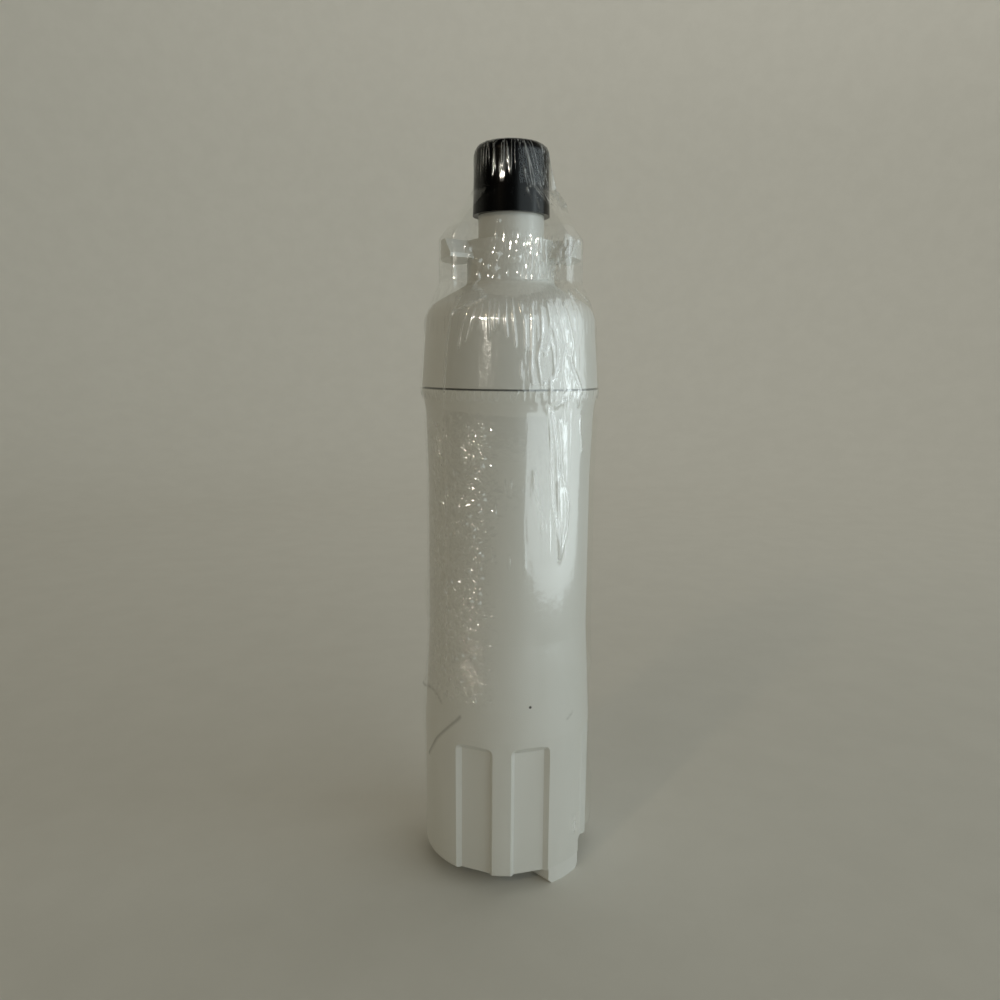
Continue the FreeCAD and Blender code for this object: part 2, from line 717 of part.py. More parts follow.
def film_envelope(face):
    """The space inside one face of the film: an outline turned over the lugs, cut to the tier in depth."""
    outline = standing_sketch(face + "_outline", 0)
    draw_profile(
        outline,
        [
            (None, "film_bottom"),
            (face + "_grip", "film_bottom"),
            (face + "_grip", "grip_top"),
            (face + "_label", "label_bottom"),
            (face + "_label", "label_top"),
            (face + "_ring_foot", "ring_bottom"),
            (face + "_ring", "film_collar_level"),
            (face + "_shoulder", "film_shoulder_level"),
            (face + "_flare", "film_flare_level"),
            (face + "_lug", "film_waist_level"),
            (face + "_lug", face + "_lug_level"),
            (face + "_cap", "film_tent_level"),
            (face + "_bend", "film_bend_level"),
            (face + "_crown", face + "_top"),
            (None, face + "_top"),
        ],
    )
    turn = doc.addObject("Part::Revolution", face + "_turned")
    turn.Source = outline
    turn.Axis = FreeCAD.Vector(0, 0, 1)
    turn.Angle = 360
    turn.Solid = True
    depth = standing_sketch(face + "_depth", 90)
    draw_profile(
        depth,
        [
            ("film_slab_back", "film_slab_bottom"),
            ("film_slab_front", "film_slab_bottom"),
            ("film_slab_front", face + "_slope_foot"),
            (face + "_front", face + "_slope_top"),
            (face + "_front", "film_slab_top"),
            (face + "_back", "film_slab_top"),
            (face + "_back", face + "_slope_top"),
            ("film_slab_back", face + "_slope_foot"),
        ],
    )
    slab = doc.addObject("Part::Extrusion", face + "_slab")
    slab.Base = depth
    slab.DirMode = "Custom"
    slab.Dir = FreeCAD.Vector(1, 0, 0)
    slab.Symmetric = True
    slab.Solid = True
    bind(slab, "LengthFwd", "film_slab_length")
    space = doc.addObject("Part::Common", face + "_space")
    space.Base = turn
    space.Tool = slab
    doc.recompute()
    return space


def make_film():
    film = doc.addObject("Part::Cut", "shrink_film")
    film.Label = "shrink_film"
    film.Base = film_envelope("film_outer")
    film.Tool = film_envelope("film_inner")
    doc.recompute()
    return film


fill_sheet()
pieces = [make_housing(), make_head(), make_cap()]
for label, ring, level in (
    ("nozzle_o_ring_lower", "nozzle_ring", "lower_ring_level"),
    ("nozzle_o_ring_upper", "nozzle_ring", "upper_ring_level"),
    ("spigot_o_ring", "spigot_ring", "spigot_ring_level"),
):
    pieces.append(make_o_ring(label, ring + "_radius", ring + "_section", level))
pieces.append(make_tube("carbon_block", "block_radius", "block_bore", "block_length", "block_bottom"))
pieces.append(make_tube("prefilter_wrap", "wrap_radius", "wrap_inner", "wrap_length", "wrap_bottom"))
pieces += [make_bottom_end_cap(), make_top_end_cap(), make_film()]
doc.recompute()

failed = [thing for thing in doc.Objects if "Invalid" in thing.State or "Error" in thing.State]
if failed:
    raise RuntimeError("; ".join(f"{thing.Name}: {thing.getStatusString()}" for thing in failed))
for piece in pieces:
    if piece.Shape.isNull() or not piece.Shape.isValid():
        raise RuntimeError(f"{piece.Label} has no valid shape")

os.makedirs("parts", exist_ok=True)
for piece in pieces:
    piece.Shape.exportStep(f"parts/{piece.Label}.step")
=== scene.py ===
import math

import bmesh
import bpy
from mathutils import Euler, Matrix, Vector, noise


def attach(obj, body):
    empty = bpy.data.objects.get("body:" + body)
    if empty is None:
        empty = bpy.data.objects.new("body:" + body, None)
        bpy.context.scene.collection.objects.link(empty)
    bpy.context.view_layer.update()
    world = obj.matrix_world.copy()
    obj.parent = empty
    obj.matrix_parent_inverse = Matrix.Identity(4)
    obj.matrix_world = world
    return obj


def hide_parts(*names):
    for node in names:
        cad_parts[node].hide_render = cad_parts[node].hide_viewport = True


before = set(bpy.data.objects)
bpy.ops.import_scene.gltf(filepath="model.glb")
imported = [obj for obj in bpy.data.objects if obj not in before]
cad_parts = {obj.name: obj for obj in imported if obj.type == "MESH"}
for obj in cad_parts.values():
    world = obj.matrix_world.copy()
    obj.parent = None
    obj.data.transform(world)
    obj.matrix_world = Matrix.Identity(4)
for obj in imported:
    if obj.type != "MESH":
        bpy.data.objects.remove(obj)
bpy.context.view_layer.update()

MM = 0.001

# levels and radii of the mouldings under the film, in millimetres
RIM = 4.5
GRIP_TOP = 49.0
WAIST_BOTTOM = 79.0
WAIST_TOP = 128.0
RING_BOTTOM = 148.8
SEAM = 155.2
SHOULDER = 176.0
TIER_BASE = 186.5
LUG_TOP = 199.2
CAP_RIM = 206.8
CAP_TOP = 227.5
GRIP_RADIUS = 27.0
WAIST_RADIUS = 25.5
RING_FOOT_RADIUS = 26.2
RING_RADIUS = 27.5
SHOULDER_RADIUS = 25.9
LUG_RADIUS = 21.4
TIER_RADIUS = 13.4
CAP_RADIUS = 11.7
CAP_TOP_RADIUS = 11.1
CAP_FILLET = 3.2
FILM_GAP = 0.45
CAP_GAP = 0.12

# corners of the film alone: creases over the grip, the dome below the lugs and the tent above them
CREASE_BOTTOM = 36.0
CREASE_TOP = 63.0
DOME_LEVEL = 181.6
DOME_RADIUS = 24.0
DOME_RUN = 12.3
DOME_RISE = 7.0
TENT_TOP = 214.3

# the film's steps round the axis, and how much they crowd to the front
FILM_STEPS = 420
FRONT_CROWDING = 0.45

# rounding where the film's drawn-in front and back meet what the lugs hold out, in millimetres
ROUNDING_WIDTH = 1.2
ROUNDING_DEPTH = 0.25

# a dark speck in the housing's plastic, and the groove at the seam, which is painted dark as shade
SPECK = (7.07, -25.5, 60.1)
SEAM_GROOVE = 0.5

# the studio, in metres
FLOOR_RADIUS = 0.7
FLOOR_EDGE = 0.005
BEND_RADIUS = 0.5
WALL_TOP = 1.6
DAYLIGHT = (0.85, 0.965, 0.99)
LAMPLIGHT = (1.0, 0.80, 0.54)
GLINT = (1.0, 0.93, 0.8)
WALL_WASH = (1.0, 0.97, 0.9)
ROOM_LIGHT = (1.0, 0.915, 0.68, 1)
ROOM_STRENGTH = 0.145

# the camera, in metres and degrees
CAMERA_PLACE = (0, -0.2673, 0.1643)
CAMERA_PITCH = 9.51
CAMERA_ROLL = 0.5
CAMERA_LENS = 30.38
CAMERA_SENSOR = 36.0
CAMERA_SHIFT = -0.0088
CAMERA_NEAR = 0.01

# folds in the film, each a path of angles from the front and levels, its width and height in millimetres,
# and how milky or, below 0, how dark the film is there, a painted dark reflection in the fold
FOLD_RADIUS = 26.0
FOLDS = [
    # down the right of the body
    (
        [(24, 150.4), (26.2, 144.5), (27.5, 137.6), (27.8, 131.2),
         (29.2, 122.4), (33.2, 114.8), (36, 108.4)],
        0.4, 0.3, 0.9,
    ),
    (
        [(27, 148.7), (30.2, 141), (32.2, 134.9), (33, 128.8),
         (34.2, 120), (35.8, 112), (36.2, 105.2)],
        0.45, 0.3, 1.0,
    ),
    (
        [(32.2, 146.1), (35.5, 138.3), (36, 133.1), (38.8, 128.2),
         (43, 122.3), (42.8, 115.2), (38, 107)],
        0.4, 0.3, 0.9,
    ),
    ([(36, 133.1), (33.2, 127.5), (34.2, 120)], 0.45, 0.3, 0.9),
    ([(51.5, 148.3), (52.5, 143.1), (56.2, 137.2)], 0.4, 0.3, 0.8),
    ([(29.5, 151), (36, 152.5), (36.8, 146.5)], 0.5, 0.3, 0.9),
    ([(35, 113), (36.2, 106)], 0.9, 0.2, 0.7),
    ([(16.5, 131.4), (19.2, 122.7), (22.5, 115.2)], 1.1, 0.12, 0.4),
    # short dashes over the front
    ([(-2.5, 128.8), (-2.3, 126.6)], 0.3, 0.15, 0.3),
    ([(1.2, 129), (1.2, 126.8)], 0.3, 0.15, 0.3),
    ([(-8.5, 122.5), (-8.5, 119.5)], 0.3, 0.15, 0.3),
    ([(-18, 134.5), (-18, 131)], 0.3, 0.15, 0.3),
    ([(-10.5, 107.3), (-10.5, 104.8)], 0.3, 0.15, 0.3),
    ([(0.8, 106.8), (0.8, 103.8)], 0.35, 0.15, 0.35),
    ([(10.8, 107.2), (11.2, 102)], 0.45, 0.15, 0.4),
    ([(6.5, 163.4), (6.5, 159.4)], 0.45, 0.2, 0.6),
    # down the left
    ([(-35.2, 182), (-40.5, 176), (-42.5, 167.6), (-42.8, 155)], 0.35, 0.3, 0.7),
    ([(-46.5, 154.1), (-46.8, 145.5), (-51, 132.2)], 0.4, 0.25, 0.3),
    ([(-44.5, 151), (-46.5, 120), (-46, 72)], 0.5, 0.2, 0.25),
    # gathers hanging from the shoulder
    ([(-13.8, 180), (-13.2, 175), (-12.5, 170.9)], 0.3, 0.3, 0.8),
    ([(-10.4, 180.5), (-10.2, 175), (-9.8, 172.5)], 0.3, 0.25, 0.6),
    ([(-7.5, 179), (-7.5, 173.7)], 0.3, 0.3, 0.7),
    ([(-3, 180.6), (-2.8, 175), (-1.8, 170.7)], 0.3, 0.3, 0.8),
    ([(1, 181), (2, 174.9), (3.5, 167.7)], 0.3, 0.3, 0.8),
    ([(5.8, 179.8), (8.8, 175), (9.2, 167.3)], 0.3, 0.3, 0.8),
    ([(-22.8, 178.2), (-25.8, 172.9), (-28.2, 169.3)], 0.3, 0.3, 0.8),
    ([(-28.5, 177.5), (-32, 171), (-33, 167)], 0.3, 0.25, 0.5),
    ([(-18.2, 179.5), (-19, 174.5)], 0.3, 0.25, 0.5),
    # a net over the right of the collar
    ([(13.5, 179), (13.5, 175), (12.5, 161.6), (13.5, 157.1)], 0.4, 0.3, 0.8),
    ([(19, 179), (19.2, 170.2), (16.5, 164.5), (18.5, 157.9), (25.5, 155.9)], 0.4, 0.3, 0.9),
    ([(18.2, 168.2), (21.2, 165.7), (25, 169.8), (27.2, 165), (27.5, 159.6), (19.5, 157.1)], 0.4, 0.3, 0.9),
    ([(24, 180), (24.8, 175.1), (30, 168.7), (29.2, 161.7), (24.5, 157.9), (25, 152)], 0.4, 0.3, 0.9),
    ([(30, 180), (32, 175.2), (35.5, 168.3), (32.5, 161.7), (34.5, 155.4)], 0.4, 0.3, 0.9),
    ([(37, 180), (38.8, 175.3), (43, 168.4), (39.5, 163.8), (48, 155.3), (47.8, 151)], 0.4, 0.3, 0.8),
    ([(35.5, 168.3), (40.8, 162.1), (49, 154.4)], 0.4, 0.3, 0.8),
    # forked crease on the left of the shoulder, and two at its right
    ([(-34.2, 188.6), (-31.5, 185.5), (-28.2, 184.2), (-22.8, 183.6), (-17.8, 181.7)], 0.35, 0.35, 0.9),
    ([(-16.8, 181.6), (-23.2, 180.1), (-30.8, 179.1), (-39.5, 177)], 0.4, 0.35, 0.9),
    ([(44.8, 183.7), (50.2, 182.2)], 0.35, 0.3, 0.5),
    ([(55.5, 184.5), (65.2, 182.2), (78, 180.5)], 0.35, 0.3, 0.5),
    # slack over the grip, where the folds are painted dark as a dark reflection
    ([(-84, 59), (-62.8, 61.1), (-54, 60.1), (-49, 58.2)], 0.4, 0.4, -0.35),
    ([(-31.8, 55.6), (-44.2, 50), (-53.2, 45.8), (-64.5, 38.5)], 0.4, 0.5, -0.45),
    ([(48.5, 55.3), (43.5, 54.1)], 0.4, 0.2, -0.2),
    ([(52.5, 17.5), (53.5, 15.5)], 0.8, 0.5, 1.0),
]

# puckers over the tier and the neck that catch the lamp: how far across, and their level
PUCKERS = [
    (-16.6, 197.5),
    (-12.2, 195.5),
    (-11.2, 193.1),
    (-9.2, 192.2),
    (-6.9, 190.9),
    (-4.8, 190.3),
    (-4.1, 194.4),
    (-4.2, 187.2),
    (0.5, 193.2),
    (2.1, 193.6),
    (-3.6, 204.3),
]
PUCKER_WIDTH = 0.8
PUCKER_HEIGHT = 0.8


class Value:
    """A number that changes over a surface: Python's operators on it add Math nodes."""

    def __init__(self, shader, socket):
        self.shader = shader
        self.socket = socket

    def maths(self, operation, other):
        return self.shader.node("ShaderNodeMath", {"operation": operation}, {0: self, 1: other})

    def __add__(self, other):
        return self.maths("ADD", other)

    __radd__ = __add__

    def __mul__(self, other):
        return self.maths("MULTIPLY", other)

    def __pow__(self, other):
        return self.maths("POWER", other)

    def rise(self, low, high):
        """0 below low and 1 above high, with a smooth step between; falls where high is the lower."""
        settings = {"interpolation_type": "SMOOTHSTEP"}
        sockets = {"Value": self, "From Min": low, "From Max": high}
        return self.shader.node("ShaderNodeMapRange", settings, sockets)


class Shader:
    """A material under construction."""

    def __init__(self, name):
        self.material = bpy.data.materials.new(name)
        self.material.use_nodes = True
        self.tree = self.material.node_tree
        self.tree.nodes.clear()
        self.place = self.node("ShaderNodeTexCoord", out="Object")

    def node(self, kind, settings=None, sockets=None, out=0):
        """Adds a node: its settings first, then its sockets' values or links. Gives back one output."""
        made = self.tree.nodes.new(kind)
        for key, setting in (settings or {}).items():
            setattr(made, key, setting)
        for key, value in (sockets or {}).items():
            if isinstance(value, Value):
                self.tree.links.new(value.socket, made.inputs[key])
            else:
                made.inputs[key].default_value = value
        return Value(self, made.outputs[out])

    def axis(self, letter):
        return self.node("ShaderNodeSeparateXYZ", {}, {0: self.place}, out=letter)

    def attribute(self, name):
        return self.node("ShaderNodeAttribute", {"attribute_name": name}, out="Fac")

    def stretched(self, across, along):
        """Object coordinates with so many units a metre across the axis and along it."""
        return self.node("ShaderNodeMapping", {}, {"Vector": self.place, "Scale": (across, across, along)})

    def grain(self, across, along, detail=2.0, rough=0.5, warp=0.0):
        """Noise with so many units a metre across the axis and along it."""
        sockets = {
            "Vector": self.stretched(across, along),
            "Scale": 1.0,
            "Detail": detail,
            "Roughness": rough,
            "Distortion": warp,
        }
        return self.node("ShaderNodeTexNoise", {}, sockets)

    def cells(self, density):
        """How far a spot is from the nearest of scattered points, so many to a metre."""
        sockets = {"Vector": self.stretched(density, density), "Scale": 1.0}
        return self.node("ShaderNodeTexVoronoi", {}, sockets, out="Distance")

    def mix(self, share, first, second):
        """Mixes two colours."""
        settings = {"data_type": "RGBA"}
        return self.node("ShaderNodeMix", settings, {"Factor": share, 6: first, 7: second}, out=2)

    def bump(self, height, depth):
        """A normal from a height in parts of a depth in metres."""
        return self.node("ShaderNodeBump", {}, {"Height": height, "Distance": depth, "Strength": 1.0})

    def principled(self, sockets):
        return self.node("ShaderNodeBsdfPrincipled", {}, sockets)

    def blend(self, share, first, second):
        """Mixes two surfaces."""
        return self.node("ShaderNodeMixShader", {}, {0: share, 1: first, 2: second})

    def finish(self, surface):
        output = self.tree.nodes.new("ShaderNodeOutputMaterial")
        self.tree.links.new(surface.socket, output.inputs["Surface"])
        return self.material


def moulded_plastic(name, light, dark, gloss, ior=1.49, speck=None, seam=None):
    """Smooth moulded plastic with faint flow marks, a fine satin grain and a little dust in its tone.

    A speck is a dark spot at a point, and a seam is a range of levels painted dark as the shade in a groove.
    """
    shader = Shader(name)
    flow = shader.grain(60, 22, 3.0, 0.55, 0.4)
    dust = shader.grain(900, 900).rise(0.66, 0.8)
    satin = shader.grain(2600, 2600)
    tone = shader.mix(flow.rise(0.3, 0.7), dark, light)
    tone = shader.mix(dust * 0.12, tone, (dark[0] * 0.6, dark[1] * 0.6, dark[2] * 0.6, 1))
    if speck:
        settings = {"operation": "DISTANCE"}
        away = shader.node("ShaderNodeVectorMath", settings, {0: shader.place, 1: speck}, out="Value")
        tone = shader.mix(away.rise(0.55 * MM, 0.3 * MM), tone, (0.03, 0.025, 0.02, 1))
    if seam:
        up = shader.axis("Z")
        low, high = seam
        # painted shade: the levels of the seam's groove are darkened
        groove_shade = up.rise(low - 0.1 * MM, low) * up.rise(high + 0.1 * MM, high)
        tone = shader.mix(groove_shade * 0.6, tone, (0.09, 0.08, 0.065, 1))
    rough = gloss + flow * 0.1 + dust * 0.15
    normal = shader.bump(satin, 0.012 * MM)
    sockets = {"Base Color": tone, "Roughness": rough, "Normal": normal, "IOR": ior}
    return shader.finish(shader.principled(sockets))


def rubber(name):
    """Matt black rubber with a faint bloom."""
    shader = Shader(name)
    bloom = shader.grain(700, 700, 4.0, 0.6)
    tone = shader.mix(bloom.rise(0.35, 0.75), (0.012, 0.012, 0.012, 1), (0.035, 0.034, 0.033, 1))
    rough = 0.55 + bloom * 0.25
    normal = shader.bump(bloom, 0.02 * MM)
    return shader.finish(shader.principled({"Base Color": tone, "Roughness": rough, "Normal": normal}))


def pressed_carbon(name):
    """Matt pressed carbon, gritty to the eye."""
    shader = Shader(name)
    grit = shader.cells(1600)
    coarse = shader.grain(300, 300, 4.0, 0.6)
    tone = shader.mix(grit.rise(0.1, 0.8) * coarse, (0.012, 0.012, 0.013, 1), (0.06, 0.06, 0.062, 1))
    rough = 0.75 + coarse * 0.2
    normal = shader.bump(grit, 0.15 * MM)
    return shader.finish(shader.principled({"Base Color": tone, "Roughness": rough, "Normal": normal}))


def fleece(name):
    """White non-woven fleece of tangled fibres."""
    shader = Shader(name)
    fibres = shader.grain(900, 500, 6.0, 0.7, 2.5)
    tone = shader.mix(fibres.rise(0.3, 0.7), (0.62, 0.62, 0.6, 1), (0.85, 0.85, 0.83, 1))
    normal = shader.bump(fibres, 0.2 * MM)
    return shader.finish(shader.principled({"Base Color": tone, "Roughness": 0.9, "Normal": normal}))


def clear_film(name):
    """Clear shrink film: what is behind it shows through, under reflections broken by fine wrinkles.

    The mesh says where folds make it milky, or dark as a painted dark reflection.
    """
    shader = Shader(name)
    side, back, up = shader.axis("X"), shader.axis("Y"), shader.axis("Z")
    drawn = shader.grain(420, 42, 2.0, 0.5, 0.5)
    peel = shader.grain(620, 470, 2.0, 0.6)
    # a dimpled patch down the left of the front
    patch = side.rise(-2 * MM, -11 * MM) * back.rise(-4 * MM, -13 * MM)
    patch = patch * up.rise(57 * MM, 64 * MM) * up.rise(152 * MM, 140 * MM)
    # its dimples are deeper lower down, where only steep ones catch the lamp
    low = up.rise(135 * MM, 80 * MM)
    dimples = peel * (1.6 + low * 0.9) + shader.cells(320).rise(0.45, 0.0) * (2.3 + low * 1.5)
    normal = shader.bump(drawn * 0.25 + peel * 0.08 + dimples * patch, 0.5 * MM)
    milk = shader.attribute("milk") + peel.rise(0.5, 0.72) * patch * 0.22
    through = shader.node("ShaderNodeBsdfTransparent", {}, {"Color": (0.985, 0.99, 0.985, 1)})
    haze = shader.principled({"Base Color": (0.95, 0.97, 0.97, 1), "Roughness": 0.3})
    # a dark surface that paints the dark reflection into folds
    painted_dark = shader.principled({"Base Color": (0.10, 0.09, 0.07, 1), "Roughness": 0.4})
    body = shader.blend(milk * 0.75, through, haze)
    body = shader.blend(shader.attribute("dark"), body, painted_dark)
    # it lies flat on the cap, and shines less there
    off_axis = (side * side + back * back) ** 0.5
    loose = off_axis.rise((CAP_RADIUS + 0.2) * MM, (CAP_RADIUS + 1.1) * MM)
    tint = shader.mix(loose, (0.12, 0.12, 0.12, 1), (1, 1, 1, 1))
    rough = 0.07 + drawn * 0.05
    shine = shader.principled({"Base Color": tint, "Metallic": 1.0, "Roughness": rough, "Normal": normal})
    facing = shader.node("ShaderNodeLayerWeight", {}, {"Blend": 0.5, "Normal": normal}, out="Facing")
    return shader.finish(shader.blend(0.085 + facing**5 * 0.5, body, shine))


def new_piece(name, mesh, material):
    """Makes an object of a bmesh and puts it in the scene."""
    data = bpy.data.meshes.new(name)
    mesh.to_mesh(data)
    mesh.free()
    for face in data.polygons:
        face.use_smooth = True
    data.materials.append(material)
    piece = bpy.data.objects.new(name, data)
    bpy.context.scene.collection.objects.link(piece)
    return piece


def turned_sheet(outline, steps):
    """A bmesh of an open outline, given as radius and level in metres, turned about the axis."""
    mesh = bmesh.new()
    line = [mesh.verts.new((radius, 0, level)) for radius, level in outline]
    edges = [mesh.edges.new(pair) for pair in zip(line, line[1:])]
    turn = {"cent": (0, 0, 0), "axis": (0, 0, 1), "angle": math.tau, "steps": steps, "use_merge": True}
    bmesh.ops.spin(mesh, geom=line + edges, **turn)
    bmesh.ops.remove_doubles(mesh, verts=mesh.verts, dist=1e-7)
    return mesh


def smooth_step(low, high, x):
    t = min(max((x - low) / (high - low), 0.0), 1.0)
    return t * t * (3 - 2 * t)


def walk(corners):
    """Points in metres along a line of corners, each corner followed by the pitch of the run after it."""
    points = []
    for (r0, z0, pitch), (r1, z1, _) in zip(corners, corners[1:]):
        count = max(1, round(math.hypot(r1 - r0, z1 - z0) / pitch))
        for i in range(count):
            share = i / count
            points.append(((r0 + (r1 - r0) * share) * MM, (z0 + (z1 - z0) * share) * MM))
    points.append((corners[-1][0] * MM, corners[-1][1] * MM))
    return points


def film_outline():
    """The film's half outline the widest way, across the lugs: radius, level and pitch in millimetres."""
    gap = FILM_GAP
    outline = [
        (GRIP_RADIUS + gap - 0.1, RIM + 1.2, 2.5),
        (GRIP_RADIUS + gap, CREASE_BOTTOM, 0.75),
        (GRIP_RADIUS + gap, GRIP_TOP, 0.75),
        (GRIP_RADIUS + gap - 0.7, CREASE_TOP, 1.6),
        (WAIST_RADIUS + gap, WAIST_BOTTOM, 1.6),
        (WAIST_RADIUS + gap, WAIST_TOP, 1.2),
        (RING_FOOT_RADIUS + gap, RING_BOTTOM, 0.8),
        (RING_RADIUS + gap, SEAM + 0.5, 0.9),
        (SHOULDER_RADIUS + gap, SHOULDER, 0.8),
        (DOME_RADIUS + gap, DOME_LEVEL, 0.8),
        (LUG_RADIUS + gap + 0.1, TIER_BASE, 0.5),
        (LUG_RADIUS + gap, LUG_TOP + gap, 0.8),
        (CAP_RADIUS - 0.2 + CAP_GAP, TENT_TOP, 0.8),
    ]
    for turn in (0, 22.5, 45, 67.5, 90):
        across = CAP_TOP_RADIUS - CAP_FILLET + (CAP_FILLET + CAP_GAP) * math.cos(math.radians(turn))
        level = CAP_TOP - CAP_FILLET + (CAP_FILLET + CAP_GAP) * math.sin(math.radians(turn))
        outline.append((across, level, 0.8))
    outline.append((0.0, CAP_TOP + CAP_GAP, 1.0))
    return outline


def hump(low, high, edge, x):
    """1 between low and high, with smooth edges outside them."""
    return smooth_step(low - edge, low, x) * smooth_step(high + edge, high, x)


def front_depth(level):
    """How far the film stands off the axis at the front and back, where no lug holds it out."""
    if level < TIER_BASE:
        return TIER_RADIUS + FILM_GAP + (TIER_BASE + 0.6 - level) * DOME_RUN / DOME_RISE
    if level < LUG_TOP + 0.4:
        return TIER_RADIUS + FILM_GAP
    on_cap = CAP_RADIUS + CAP_GAP - (CAP_RADIUS - CAP_TOP_RADIUS) * (level - CAP_RIM) / (CAP_TOP - CAP_RIM)
    share = smooth_step(LUG_TOP + 0.4, CAP_RIM, level)
    return (TIER_RADIUS + FILM_GAP) * (1 - share) + on_cap * share


def ridge(x, y, z, across, along, seed):
    """Sharp-backed wrinkles, 0 to 1: so many to a millimetre across the axis and along it."""
    n = noise.noise(Vector((x * across + seed, y * across, z * along)))
    return max(0.0, 1.0 - abs(n) * 3.2) ** 1.5


def near(theta, level, path, width):
    """How near a spot is to a fold in the film, 1 on the fold: its path is of angles and levels."""
    nearest = math.inf
    scale = FOLD_RADIUS * math.pi / 180
    for (t0, z0), (t1, z1) in zip(path, path[1:]):
        ax, az = (t1 - t0) * scale, z1 - z0
        px, pz = (theta - t0) * scale, level - z0
        share = min(max((px * ax + pz * az) / (ax * ax + az * az), 0.0), 1.0)
        nearest = min(nearest, math.hypot(px - ax * share, pz - az * share))
    return math.exp(-((nearest / width) ** 2))


def folds_by_row():
    """The folds with the range of levels that each can reach."""
    rows = []
    for path, width, height, tone in FOLDS:
        levels = [level for _, level in path]
        rows.append((min(levels) - 3 * width, max(levels) + 3 * width, path, width, height, tone))
    return rows


def cap_lines(theta, level, x, y):
    """Thin lines down the cap from its top, long on the right and leaning there."""
    middle = 217
    foot = middle - 10 * smooth_step(5, 30, theta) + 4 * noise.noise(Vector((x * 0.8, y * 0.8, 3.0)))
    lean = 0.35 * (level - middle) * smooth_step(-5, 25, theta) * smooth_step(85, 50, theta)
    rim = smooth_step(3.0, 8.5, math.hypot(x, y))
    line = ridge(x + lean, y, level, 0.85, 0.012, 85.37) ** 3
    return [(0.25, 0.6, rim * smooth_step(foot, foot + 4, level) * line)]


def tier_dents(theta, level, x, y):
    """A streaky patch over the tier's right, dents round it, and haze where film is drawn out to the lugs."""
    patch = hump(4.5, 12.5 + 0.8 * max(level - 189, 0.0), 1.5, x) * hump(188, 198.5, 1.5, level) * (y < 0)
    return [
        (0.2, 0.8, patch * ridge(x, y, level, 1.3, 0.25, 31.0)),
        (0.13, 0.05, hump(187, 200, 2, level) * ridge(x, y, level, 0.7, 0.4, 37.0)),
        (0.0, 0.22, hump(46, 84, 8, abs(theta)) * hump(188, 202, 2, level)),
    ]


def collar_fuzz(theta, level, x, y):
    """Fine fuzz between the folds of the collar's right, and gathers round the shoulder."""
    fuzz = hump(10, 46, 6, theta) * hump(158, 180, 7, level)
    return [
        (0.12, 0.4, fuzz * ridge(x, y, level, 0.9, 0.07, 11.0)),
        (0.14, 0.1, hump(173, 186, 3, level) * ridge(x, y, level, 0.45, 0.03, 17.0)),
    ]


def seam_nips(theta, level, x, y):
    """Short nips all round under the seam."""
    return [(0.25, 0.35, hump(152.6, 154.6, 0.8, level) * ridge(x, y, level, 0.62, 0.05, 23.0))]


def body_streaks(theta, level, x, y):
    """Long faint streaks down the right of the body."""
    streaks = hump(20, 44, 6, theta) * hump(112, 150, 9, level)
    return [(0.12, 0.1, streaks * ridge(x, y, level, 0.5, 0.012, 41.0))]


# the lowest and highest level that each kind of gather can reach
GATHER_ZONES = [
    (203, 230, cap_lines),
    (184, 203, tier_dents),
    (153, 188, collar_fuzz),
    (149, 157, seam_nips),
    (95, 153, body_streaks),
]


def gathers(theta, level, x, y):
    """Gathers at an angle from the front and a level: the height in mm, milkiness and strength of each."""
    found = []
    for low, high, zone in GATHER_ZONES:
        if low < level < high:
            found += zone(theta, level, x, y)
    return found


def slack(theta, level, x, y):
    """How far loose film stands out of its smooth outline, in mm."""
    out = 0.0
    if 55 < level < RING_BOTTOM + 1:
        recess = hump(66, RING_BOTTOM - 4, 4, level)
        out += recess * 1.2 * (hump(80, 130, 14, theta) + 0.2 * hump(-130, -75, 14, theta))
        ripple = noise.noise(Vector((x * 0.5, y * 0.5, level * 0.4)))
        out += recess * 0.16 * ripple * hump(-70, -14, 12, theta)
    # a bag low on the left of the waist
    bag = math.exp(-(((theta + 92) / 13) ** 2) - ((level - 89) / 6) ** 2)
    out += 1.4 * bag
    out += 0.7 * hump(-120, -75, 14, theta) * hump(44, 60, 5, level)
    out += 1.3 * hump(72, 108, 12, theta) * hump(13, 26, 5, level)
    # a loose fin at the cap's right
    fin = math.exp(-(((theta - 86) / 5) ** 2))
    out += 2.4 * fin * smooth_step(203, 212, level) * smooth_step(225, 212, level)
    return out


def drape(mesh):
    """Draws the turned film in round the tier, front and back, and lays its folds, finest at the front."""
    milk_layer = mesh.verts.layers.float.new("milk")
    painted_dark_layer = mesh.verts.layers.float.new("dark")
    rows = folds_by_row()
    for vert in mesh.verts:
        x, y, z = vert.co / MM
        radius = math.hypot(x, y)
        if radius < 1e-4:
            continue
        angle = math.atan2(x, -y)
        angle -= FRONT_CROWDING * math.sin(angle)
        ax, ay = math.sin(angle), -math.cos(angle)
        flat = front_depth(z) / max(abs(ay), 1e-3)
        close = max(ROUNDING_WIDTH - abs(radius - flat), 0.0) / ROUNDING_WIDTH
        close *= smooth_step(CAP_RIM, LUG_TOP, z)
        radius = min(radius, flat) - close * close * ROUNDING_DEPTH
        theta = math.degrees(angle)
        x, y = ax * radius, ay * radius
        out, milk, dark = slack(theta, z, x, y), 0.0, 0.0
        for height, milkiness, strength in gathers(theta, z, x, y):
            out += height * strength
            milk += milkiness * strength
        for low, high, path, width, height, tone in rows:
            if low < z < high:
                fold = near(theta, z, path, width)
                out += height * fold
                milk += max(tone, 0.0) * fold
                # a tone below 0 paints a dark reflection into the fold
                dark += max(-tone, 0.0) * fold
        for across, level in PUCKERS:
            if y < 0 and abs(z - level) < 2 * PUCKER_WIDTH and abs(x - across) < 2 * PUCKER_WIDTH:
                out += PUCKER_HEIGHT * math.exp(-((x - across) ** 2 + (z - level) ** 2) / PUCKER_WIDTH**2)
        vert[milk_layer] = min(milk, 1.0)
        vert[painted_dark_layer] = min(dark, 1.0)
        radius += out
        vert.co = Vector((ax * radius, ay * radius, z)) * MM


